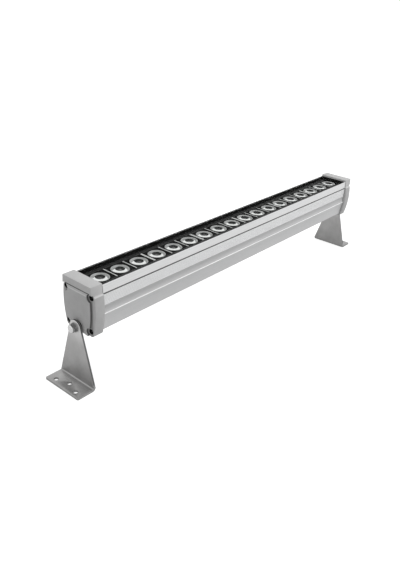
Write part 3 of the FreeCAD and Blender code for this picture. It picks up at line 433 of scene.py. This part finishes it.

# %% [markdown]
# ### Coated casting
#
# The end caps are castings under a grey powder coat. Powder melts into a skin with a very fine
# orange-peel texture, a little glossier than bare plaster and never quite even. The crease round
# the raised panel gets a painted shade, the shoulder's edge a painted highlight, and all above the
# shoulder is painted lighter, as light from above makes it. Light could show these, but they are
# too fine for it at this size, so their places are painted.

# %% Coated casting
UPPER_HEIGHT = 10.2 * MM
PANEL_RAISE = 2.5 * MM
PANEL_EDGE = 0.6 * MM
CREASE_RISE = 3.2 * MM
CREASE_HALF = 19.4 * MM
CREASE_FADE = 0.2 * MM
CREASE_BLUR = 0.05 * MM
SHOULDER_LINE = 1.3 * MM
SHOULDER_BLUR = 0.3 * MM
CAP_DARK = grey(0.53)
CAP_LIGHT = grey(0.585)
# Painted light above the shoulder, a painted highlight along its edge and a painted shade in the crease.
UPPER_PAINTED_LIGHT = grey(0.66)
UPPER_LIGHT_SHARE = 0.5
SHOULDER_PAINTED_HIGHLIGHT = grey(0.82)
SHOULDER_HIGHLIGHT_SHARE = 0.8
CREASE_PAINTED_SHADE = grey(0.13)

CAP_LOW, CAP_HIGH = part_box("left_end_cap")
CAP_END = -CAP_LOW.x
SHOULDER = CAP_HIGH.z - UPPER_HEIGHT
print("shoulder at", round(SHOULDER / MM, 1), "mm")


def coated_casting():
    finish, tree, shader = start_finish("cast_cap", 0.5)
    x, y, z = place_of(tree)
    peel = noise(tree, 0.35 * MM, detail=2.0)
    patches = patches_of(tree, noise(tree, 9 * MM))
    base = blend_colours(tree, patches, CAP_DARK, CAP_LIGHT)
    # Painted light: all above the shoulder is lighter.
    upper = between(tree, z, SHOULDER, SHOULDER + 2 * UPPER_HEIGHT)
    upper = math_node(tree, "MULTIPLY", upper, UPPER_LIGHT_SHARE)
    # Painted highlight along the shoulder's edge.
    edge = between(tree, z, SHOULDER - SHOULDER_LINE, SHOULDER, SHOULDER_BLUR)
    edge = math_node(tree, "MULTIPLY", edge, SHOULDER_HIGHLIGHT_SHARE)
    # Painted shade in the crease round the raised panel.
    outwards = from_middle(tree, x)
    crease = between(tree, outwards, CAP_END - PANEL_RAISE, CAP_END - PANEL_EDGE, CREASE_BLUR)
    inside = map_range(tree, from_middle(tree, y), CREASE_HALF - CREASE_FADE, CREASE_HALF, 1.0, 0.0)
    crease = math_node(tree, "MULTIPLY", crease, inside)
    crease = math_node(tree, "MULTIPLY", crease, between(tree, z, 0.0, SHOULDER + CREASE_RISE))
    zones = ((upper, UPPER_PAINTED_LIGHT), (edge, SHOULDER_PAINTED_HIGHLIGHT), (crease, CREASE_PAINTED_SHADE))
    tree.links.new(paint_zones(tree, base, zones), shader.inputs["Base Color"])
    uneven_gloss(tree, shader, peel, 0.44, 0.6)
    raise_grain(tree, shader, peel, 0.02 * MM)
    return finish


finishes["cast_cap"] = coated_casting()

# %% [markdown]
# ### Satin steel
#
# The feet are stainless sheet with a dull satin grain, drawn out upwards. Painted shade darkens
# the plate's edges, and painted light makes the plate grow brighter towards its head, as it does in
# the photograph. The bolts are the same steel, turned and pressed; a painted highlight brightens
# their ends and a painted shade darkens their flats. The screws in the caps and the washers are zinc
# plated, which scatters more light, and the washers are darkened by a painted shade. Polished metal
# would only mirror the studio, so all of these keep a little roughness.

# %% Sheet steel
STEEL_TINT = 0.006
PLATE_INSIDE = 251.55 * MM
PLATE_OUTSIDE = 254.05 * MM
# The plate's edges get a painted shade, and its head a painted highlight.
EDGE_SHADE_INSET = 0.3 * MM
EDGE_SHADE_FADE = 1.0 * MM
EDGE_PAINTED_SHADE = grey(0.16)
FOLD_HEIGHT = 6.0 * MM
PLATE_HEAD = 45.0 * MM
PIVOT_HEIGHT = 63.0 * MM
HEAD_PAINTED_HIGHLIGHT = grey(0.74, STEEL_TINT)


def satin_sheet():
    finish, tree, shader = start_finish("bracket_steel", 0.42, metallic=1.0)
    x, z = place_of(tree)[::2]
    grain = noise(tree, 0.25 * MM, (1.0, 1.0, 30.0))
    clouds = patches_of(tree, noise(tree, 14 * MM, detail=4.0))
    # Painted light: the plate is darker at the fold and lighter towards its head.
    low = blend_colours(tree, clouds, grey(0.33, STEEL_TINT), grey(0.41, STEEL_TINT))
    high = blend_colours(tree, clouds, grey(0.46, STEEL_TINT), grey(0.54, STEEL_TINT))
    plate = blend_colours(tree, map_range(tree, z, FOLD_HEIGHT, PLATE_HEAD, 0.0, 1.0), low, high)
    # Painted highlight near the pivot.
    head = map_range(tree, z, PLATE_HEAD, PIVOT_HEIGHT, 0.0, 1.0)
    outwards = from_middle(tree, x)
    # Painted shade on the plate's edges.
    cut = between(tree, outwards, PLATE_INSIDE + EDGE_SHADE_INSET, PLATE_OUTSIDE - EDGE_SHADE_INSET)
    upright = map_range(tree, z, FOLD_HEIGHT, FOLD_HEIGHT + EDGE_SHADE_FADE, 0.0, 1.0)
    shaded_edge = math_node(tree, "MULTIPLY", cut, upright)
    zones = ((head, HEAD_PAINTED_HIGHLIGHT), (shaded_edge, EDGE_PAINTED_SHADE))
    tree.links.new(paint_zones(tree, plate, zones), shader.inputs["Base Color"])
    uneven_gloss(tree, shader, grain, 0.36, 0.5)
    raise_grain(tree, shader, grain, 0.008 * MM)
    return finish


# %% Bolts, screws and washers
BOLT_END = -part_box("left_pivot_bolt")[0].x
END_DEPTH = 0.7 * MM
END_SKIN = 0.3 * MM


def bright_steel():
    finish, tree, shader = start_finish("steel_fastener", 0.25, metallic=1.0)
    turned = noise(tree, 0.3 * MM)
    patches = patches_of(tree, noise(tree, 2 * MM))
    outwards = from_middle(tree, place_of(tree)[0])
    # Painted highlight on the bolt's end face and painted shade on its flats.
    end = map_range(tree, outwards, BOLT_END - END_DEPTH, BOLT_END - END_SKIN, 0.0, 1.0)
    shaded_flats = blend_colours(tree, patches, grey(0.22), grey(0.32))
    face = blend_colours(tree, patches, grey(0.78), grey(0.88))
    tree.links.new(blend_colours(tree, end, shaded_flats, face), shader.inputs["Base Color"])
    uneven_gloss(tree, shader, turned, 0.2, 0.36)
    raise_grain(tree, shader, turned, 0.006 * MM)
    return finish


def zinc_plate(name, dark, light, metallic):
    finish, tree, shader = start_finish(name, 0.45, metallic=metallic)
    bloom = noise(tree, 0.5 * MM)
    uneven_colour(tree, shader, bloom, grey(dark), grey(light))
    uneven_gloss(tree, shader, bloom, 0.38, 0.55)
    raise_grain(tree, shader, bloom, 0.006 * MM)
    return finish


finishes["bracket_steel"] = satin_sheet()
finishes["steel_fastener"] = bright_steel()
screw_zinc = zinc_plate("screw_zinc", 0.62, 0.76, 0.2)
# The washers' dark grey is painted shade.
washer_zinc_painted_shade = zinc_plate("washer_zinc_painted_shade", 0.26, 0.36, 0.8)

# %% [markdown]
# ### Black plastics and rubber
#
# The tray below the glass is all black: moulded holders, rails and boards. Black looks real when
# it isn't quite black and its gloss is low and uneven. A weak mirror (a low index of refraction)
# keeps the pale backdrop from greying it at this flat angle, as fine moulded texture does.

# %% Black parts
LIGHTER = 1.7


def black_moulding(name, shade, roughness, grain_size, ior):
    finish, tree, shader = start_finish(name, roughness, ior=ior)
    grain = noise(tree, grain_size, detail=2.0)
    uneven_colour(tree, shader, noise(tree, 6 * MM), grey(shade), grey(shade * LIGHTER))
    uneven_gloss(tree, shader, grain, roughness - 0.08, roughness + 0.1)
    raise_grain(tree, shader, grain, 0.015 * MM)
    return finish


finishes["black_plastic"] = black_moulding("black_plastic", 0.024, 0.45, 0.3 * MM, 1.3)
finishes["holder_black"] = black_moulding("holder_black", 0.004, 0.5, 0.25 * MM, 1.12)
finishes["board_face"] = black_moulding("board_face", 0.008, 0.4, 1.5 * MM, 1.2)
finishes["black_rubber"] = black_moulding("black_rubber", 0.008, 0.6, 0.4 * MM, 1.2)
finishes["spacer_nylon"] = black_moulding("spacer_nylon", 0.02, 0.5, 0.4 * MM, 1.4)
finishes["dark_core"] = black_moulding("dark_core", 0.03, 0.6, 0.5 * MM, 1.5)
# The gaskets' grey, far lighter than black rubber, is painted light that lightens the shaded seam between
# cap and housing.
gasket_rubber_painted_light = black_moulding("gasket_rubber_painted_light", 0.26, 0.6, 0.4 * MM, 1.3)
print(len(finishes), "finishes so far")

# %% [markdown]
# ### Clear glass
#
# The cover is a toughened pane with an anti-glare coating, so it hardly mirrors. Solid glass would
# keep the lamps' light from the tray below, because light that bends isn't followed to a lamp.
# Mixing a clear coat of gloss over a see-through shader is the usual way out. Only the outside of
# the pane takes the gloss: seen from within, its angle would count as total reflection.

# %% Glass
GLASS_GLOSS = 0.2
GLASS_BEND = 1.2
GLASS_THROUGH = (0.955, 0.96, 0.957, 1)
GLASS_BODY = (0.02, 0.022, 0.022, 1)


def clear_pane():
    finish, tree, shader = start_finish("clear_glass", 0.02, ior=GLASS_BEND)
    shader.inputs["Base Color"].default_value = GLASS_BODY
    wipe = noise(tree, 30 * MM, (4.0, 1.0, 1.0))
    uneven_gloss(tree, shader, wipe, 0.02, 0.07)
    through = add_node(tree, "ShaderNodeBsdfTransparent")
    through.inputs["Color"].default_value = GLASS_THROUGH
    rim = add_node(tree, "ShaderNodeFresnel")
    rim.inputs["IOR"].default_value = GLASS_BEND
    side = add_node(tree, "ShaderNodeNewGeometry")
    front = math_node(tree, "SUBTRACT", 1.0, side.outputs["Backfacing"])
    share = math_node(tree, "MULTIPLY", rim.outputs[0], GLASS_GLOSS)
    share = math_node(tree, "MULTIPLY", share, front)
    pane = add_node(tree, "ShaderNodeMixShader")
    tree.links.new(share, pane.inputs[0])
    tree.links.new(through.outputs[0], pane.inputs[1])
    tree.links.new(shader.outputs[0], pane.inputs[2])
    tree.links.new(pane.outputs[0], tree.nodes["Material Output"].inputs["Surface"])
    return finish


finishes["clear_glass"] = clear_pane()

# %% [markdown]
# ### The small parts inside
#
# Nobody sees the driver, its board or the wires until the lamp is opened, but they are real pieces
# with real finishes, and a render with the housing removed shows them. Each could have a recipe of
# its own, but they are small and plain, so one recipe with other colours serves them all. The
# bright dividers between the lenses are made with it too, and they do show.

# %% Inner parts
def inner_part(name, dark, light, roughness, metallic=0.0, grain_size=0.5 * MM, height=0.01 * MM):
    finish, tree, shader = start_finish(name, roughness, metallic)
    grain = noise(tree, grain_size)
    uneven_colour(tree, shader, noise(tree, 5 * MM), dark, light)
    uneven_gloss(tree, shader, grain, roughness - 0.06, roughness + 0.08)
    raise_grain(tree, shader, grain, height)
    return finish


finishes["divider_grey"] = inner_part("divider_grey", grey(0.86), grey(0.94), 0.24, 1.0, 0.2 * MM)
finishes["copper_link"] = inner_part("copper_link", (0.62, 0.40, 0.28), (0.74, 0.50, 0.36), 0.3, 1.0)
finishes["driver_shell"] = inner_part("driver_shell", grey(0.46), grey(0.55), 0.35, 1.0)
finishes["thermal_silicone"] = inner_part("thermal_silicone", (0.40, 0.42, 0.45), (0.48, 0.5, 0.53), 0.7)
finishes["led_package"] = inner_part("led_package", (0.80, 0.72, 0.36), (0.88, 0.80, 0.46), 0.3)
finishes["circuit_board"] = inner_part("circuit_board", (0.012, 0.10, 0.045), (0.02, 0.15, 0.07), 0.4)
finishes["capacitor_sleeve"] = inner_part("capacitor_sleeve", (0.02, 0.03, 0.08), (0.03, 0.045, 0.12), 0.25)
finishes["terminal_plastic"] = inner_part("terminal_plastic", (0.70, 0.70, 0.66), (0.78, 0.78, 0.75), 0.4)
finishes["wire_insulation"] = inner_part("wire_insulation", (0.38, 0.02, 0.02), (0.5, 0.04, 0.04), 0.45)

# %% Put the finishes on the solid pieces
def wear(piece, finish):
    """Give a piece one finish all over."""
    if not piece.data.materials:
        piece.data.materials.append(finish)
    for place in piece.material_slots:
        place.material = finish


# Zinc on the screws and washers, and grey gaskets, where the slots say steel and black rubber.
# The washers' dark grey is painted shade, and the gaskets' grey is painted light on the shaded seam.
own_finish = {}
for side in ("left", "right"):
    own_finish[f"{side}_cap_screws"] = screw_zinc
    own_finish[f"{side}_washer"] = washer_zinc_painted_shade
    own_finish[f"{side}_gasket"] = gasket_rubber_painted_light

for name, piece in nodes.items():
    finish = own_finish.get(name, finishes.get(slot_of[name]))
    if finish:
        wear(piece, finish)
print("dressed", len(nodes), "solid pieces,", len(own_finish), "of them in a finish of their own")

# %% [markdown]
# ## Rounded edges
#
# The solids have knife edges, and no cast, pressed or bent piece has. A copy of each such solid is
# welded, its flat faces are made whole, and the sharp edges are bevelled: the small round catches
# a line of light, which is what the eye takes for a real edge. The solid stays for the physics,
# and the rounded piece stands in for it in the picture. A Bevel modifier would do the same, but
# bmesh lets the script choose its edges one by one.

# %% Helpers for rounded pieces
WELD = 0.001 * MM
FLAT_ANGLE = math.radians(1.0)
SHARP_ANGLE = math.radians(32.0)


def welded_copy(node):
    """The solid's skin as one mesh, with each flat face in one piece."""
    skin = bmesh.new()
    skin.from_mesh(nodes[node].data)
    bmesh.ops.remove_doubles(skin, verts=skin.verts, dist=WELD)
    bmesh.ops.dissolve_limit(skin, angle_limit=FLAT_ANGLE, verts=skin.verts, edges=skin.edges)
    return skin


def sharp_edges(skin):
    """The edges where two faces meet at a clear angle."""
    return [edge for edge in skin.edges if edge.is_manifold and edge.calc_face_angle() > SHARP_ANGLE]


def round_over(skin, edges, radius, segments=2):
    """Bevel these edges to a round of this radius."""
    bmesh.ops.bevel(
        skin,
        geom=edges,
        offset=radius,
        offset_type="OFFSET",
        segments=segments,
        profile=0.5,
        affect="EDGES",
        clamp_overlap=False,
        material=-1,
    )


def finish_piece(skin, name, stands_for, *materials):
    """Turn the mesh into an object that moves with, and stands for, the solids it replaces."""
    mesh = bpy.data.meshes.new(name)
    skin.to_mesh(mesh)
    skin.free()
    for material in materials:
        mesh.materials.append(material)
    for face in mesh.polygons:
        face.use_smooth = True
    mesh.set_sharp_from_angle(angle=SHARP_ANGLE)
    piece = bpy.data.objects.new(name, mesh)
    bpy.context.scene.collection.objects.link(piece)
    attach(piece, nodes[stands_for[0]]["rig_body"])
    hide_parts(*stands_for)
    return piece


def rounded_twin(node, radius, segments=2):
    """A rounded piece that stands for one solid, in the same finish."""
    skin = welded_copy(node)
    round_over(skin, sharp_edges(skin), radius, segments)
    piece = finish_piece(skin, f"rounded_{node}", [node], nodes[node].material_slots[0].material)
    print(piece.name, len(piece.data.polygons), "faces")


# %% [markdown]
# ### End caps, feet and bolts
#
# A casting's edges are the softest, about a third of a millimetre. The edges of sheared and bent
# plate are a little sharper, and those of a bolt's head are the sharpest of the three. Every edge
# that is sharp in the solid gets the same round, because that is what tumbling and coating do.

# %% Round the caps, feet and bolts
CAP_ROUND = 0.35 * MM
FOOT_ROUND = 0.3 * MM
BOLT_ROUND = 0.2 * MM

for side in ("left", "right"):
    rounded_twin(f"{side}_end_cap", CAP_ROUND)
    rounded_twin(f"{side}_bracket", FOOT_ROUND)
    rounded_twin(f"{side}_pivot_bolt", BOLT_ROUND)
    rounded_twin(f"{side}_washer", BOLT_ROUND)

# %% [markdown]
# ### The housing
#
# A die can't cut a knife edge either. Only the long edges along the outside are rounded, because
# those at the ends are hidden in the caps. Each round is thin, but along ribs this fine it catches a
# line of light on each crest, which also gets a painted highlight.

# %% Round the housing's long edges
DIE_ROUND = 0.16 * MM
OUTSIDE_HALF = 17.0 * MM
LONG_RUN = 400 * MM


def runs_outside(edge):
    """Whether an edge runs the whole length of the bar, on its outside."""
    first, last = (end.co for end in edge.verts)
    return abs(first.x - last.x) > LONG_RUN and min(abs(first.y), abs(last.y)) > OUTSIDE_HALF


skin = welded_copy("housing")
long_edges = [edge for edge in sharp_edges(skin) if runs_outside(edge)]
round_over(skin, long_edges, DIE_ROUND, 1)
finish_piece(skin, "rounded_housing", ["housing"], finishes["anodised_housing"])
print("rounded", len(long_edges), "long edges")

# %% [markdown]
# ### The sealant bead
#
# The glass is bedded in black sealant, and what squeezes out is wiped along the pane's edge. It
# leaves a thin black bead on the rim all the way round, with only a hair of bare metal outside it.
# A curve with a round section would give a bead too, but a wiped one is flat and square at its
# corners. So it starts as one flat frame: a rectangle is inset, its middle is taken out, and the
# frame is pulled up and rounded.

# %% Lay the bead
BEAD_HALF = 19.1 * MM
BEAD_END = 234.8 * MM
BEAD_WIDTH = 1.5 * MM
BEAD_HEIGHT = 0.14 * MM
BEAD_SUNK = 0.02 * MM
BEAD_ROUND = 0.06 * MM


def sealant_bead():
    """A flat frame on the rim, pulled up and rounded."""
    skin = bmesh.new()
    bmesh.ops.create_grid(skin, x_segments=1, y_segments=1, size=1.0)
    bmesh.ops.scale(skin, vec=(BEAD_END, BEAD_HALF, 1.0), verts=skin.verts)
    bmesh.ops.translate(skin, vec=(0, 0, HOUSING_TOP - BEAD_SUNK), verts=skin.verts)
    pane = skin.faces[:]
    bmesh.ops.inset_region(skin, faces=pane, thickness=BEAD_WIDTH, use_boundary=True)
    bmesh.ops.delete(skin, geom=pane, context="FACES")
    pulled = bmesh.ops.extrude_face_region(skin, geom=skin.faces[:], use_keep_orig=True)
    raised = [part for part in pulled["geom"] if isinstance(part, bmesh.types.BMVert)]
    bmesh.ops.translate(skin, vec=(0, 0, BEAD_HEIGHT), verts=raised)
    bmesh.ops.recalc_face_normals(skin, faces=skin.faces)
    top = [edge for edge in sharp_edges(skin) if min(end.co.z for end in edge.verts) > HOUSING_TOP]
    round_over(skin, top, BEAD_ROUND)
    return skin


mesh = bpy.data.meshes.new("sealant_bead")
shape = sealant_bead()
shape.to_mesh(mesh)
shape.free()
mesh.materials.append(finishes["black_rubber"])
bead = bpy.data.objects.new("sealant_bead", mesh)
bpy.context.scene.collection.objects.link(bead)
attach(bead, "lamp")
print("bead", len(mesh.polygons), "faces")

# %% [markdown]
# ## The lenses
#
# Each light has a collimating lens: a clear moulding that throws all the light forward. From
# outside it looks polished. Round a dark cup in its middle runs a band that swells up like a
# cushion: its near side mirrors the white sky and its far side the black tray, so it shows a
# bright crescent and a dark one. A thin frosted rim goes round the outside, and a small dome over
# the light sits in the cup.
#
# A clear lens would need long renders to look polished, so its four zones are made as they look:
# mirror, frost and dark gloss. A round moulding is turned from its half profile: a few points
# joined by edges, spun once round its own axis. The rim, the band, the cup and the dome get a
# finish each.

# %% Lens sizes, with radius, top and pitch from the solid model
LIGHTS_PER_BOARD = 3
BOARDS = 6

FIRST_LOW, FIRST_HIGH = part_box("lenses_1")
LENS_RADIUS = FIRST_HIGH.y
LENS_TOP = FIRST_HIGH.z
LIGHT_PITCH = (FIRST_HIGH.x - FIRST_LOW.x - 2 * LENS_RADIUS) / (LIGHTS_PER_BOARD - 1)

RIM_WIDTH = 0.8 * MM
RIM_ROUND = 0.3 * MM
RIM_STEP = 2.0 * MM
WALL_TAPER = 2.0 * MM
SWELL_RADIUS = 15.0 * MM
CUP_RADIUS = 5.0 * MM
CUP_DEPTH = 2.2 * MM
DOME_RADIUS = 2.6 * MM
DOME_RISE = 1.2 * MM
BACK_DEPTH = 6.0 * MM
BAND_STEPS = 8
CURVE_STEPS = 6
SPIN_STEPS = 48
print("lens radius", round(LENS_RADIUS / MM, 2), "mm, pitch", round(LIGHT_PITCH / MM, 2), "mm")

# %% Lens finishes
def mirror_band():
    finish, tree, shader = start_finish("lens_band", 0.06, metallic=1.0)
    ripple = noise(tree, 1.5 * MM)
    uneven_colour(tree, shader, ripple, grey(0.92), grey(0.98))
    uneven_gloss(tree, shader, ripple, 0.04, 0.1)
    raise_grain(tree, shader, ripple, 0.02 * MM)
    return finish


def frosted_rim():
    finish, tree, shader = start_finish("lens_rim", 0.3)
    frost = noise(tree, 0.2 * MM)
    uneven_colour(tree, shader, frost, grey(0.62), grey(0.74))
    uneven_gloss(tree, shader, frost, 0.25, 0.4)
    raise_grain(tree, shader, frost, 0.01 * MM)
    return finish


def dark_gloss(name, dark, light):
    finish, tree, shader = start_finish(name, 0.1, ior=1.5)
    speck = noise(tree, 0.9 * MM)
    uneven_colour(tree, shader, speck, grey(dark), grey(light))
    uneven_gloss(tree, shader, speck, 0.05, 0.16)
    raise_grain(tree, shader, speck, 0.02 * MM)
    return finish


lens_finishes = [
    frosted_rim(),
    mirror_band(),
    dark_gloss("lens_cup", 0.006, 0.02),
    dark_gloss("lens_dome", 0.06, 0.26),
]
RIM, BAND, CUP, DOME = range(4)
ZONE_SLACK = 0.05 * MM

# %% Turn a lens from its profile
def swell(radius):
    """How high the band stands over its outer foot, on a ball of the swell's radius."""
    foot = LENS_RADIUS - RIM_WIDTH
    return math.sqrt(SWELL_RADIUS ** 2 - radius ** 2) - math.sqrt(SWELL_RADIUS ** 2 - foot ** 2)


def lens_profile():
    """Half outline from the outer wall over the rim and the band, into the cup, up the dome."""
    outer = LENS_RADIUS
    foot = outer - RIM_WIDTH
    points = [(outer - WALL_TAPER, LENS_TOP - BACK_DEPTH), (outer, LENS_TOP - RIM_ROUND)]
    points += [(outer - RIM_ROUND, LENS_TOP), (foot, LENS_TOP)]
    band_foot = LENS_TOP - RIM_STEP
    for step in range(BAND_STEPS + 1):
        radius = foot + (CUP_RADIUS - foot) * step / BAND_STEPS
        points.append((radius, band_foot + swell(radius)))
    lip = band_foot + swell(CUP_RADIUS)
    turns = [math.pi / 2 * step / CURVE_STEPS for step in range(1, CURVE_STEPS + 1)]
    for turn in turns:
        radius = DOME_RADIUS + (CUP_RADIUS - DOME_RADIUS) * math.cos(turn)
        points.append((radius, lip - CUP_DEPTH * math.sin(turn)))
    for turn in turns:
        points.append((DOME_RADIUS * math.cos(turn), lip - CUP_DEPTH + DOME_RISE * math.sin(turn)))
    return points


def add_lens(skin, x):
    """Spin the profile round the lens's upright axis."""
    ring = [skin.verts.new((x + radius, 0, z)) for radius, z in lens_profile()]
    edges = [skin.edges.new(pair) for pair in zip(ring, ring[1:])]
    bmesh.ops.spin(
        skin,
        geom=ring + edges,
        cent=(x, 0, 0),
        axis=(0, 0, 1),
        angle=2 * math.pi,
        steps=SPIN_STEPS,
        use_merge=True,
    )


def lens_zone(face, x):
    """Which finish a face takes, by its distance from the lens's axis."""
    middle = face.calc_center_median()
    distance = math.hypot(middle.x - x, middle.y)
    if distance > LENS_RADIUS - RIM_WIDTH - ZONE_SLACK:
        return RIM
    if distance > CUP_RADIUS:
        return BAND
    return CUP if distance > DOME_RADIUS else DOME


# %% Make the lenses of one board after another
for board in range(1, BOARDS + 1):
    node = f"lenses_{board}"
    first_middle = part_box(node)[0].x + LENS_RADIUS
    skin = bmesh.new()
    for light in range(LIGHTS_PER_BOARD):
        x = first_middle + light * LIGHT_PITCH
        lens = bmesh.new()
        add_lens(lens, x)
        bmesh.ops.remove_doubles(lens, verts=lens.verts, dist=WELD)
        for face in lens.faces:
            face.material_index = lens_zone(face, x)
        bottom = [edge for edge in lens.edges if edge.is_boundary]
        bmesh.ops.holes_fill(lens, edges=bottom, sides=0)
        bmesh.ops.recalc_face_normals(lens, faces=lens.faces)
        one = bpy.data.meshes.new("one_lens")
        lens.to_mesh(one)
        lens.free()
        skin.from_mesh(one)
        bpy.data.meshes.remove(one)
    finish_piece(skin, f"turned_{node}", [node], *lens_finishes)
print("turned", BOARDS * LIGHTS_PER_BOARD, "lenses")
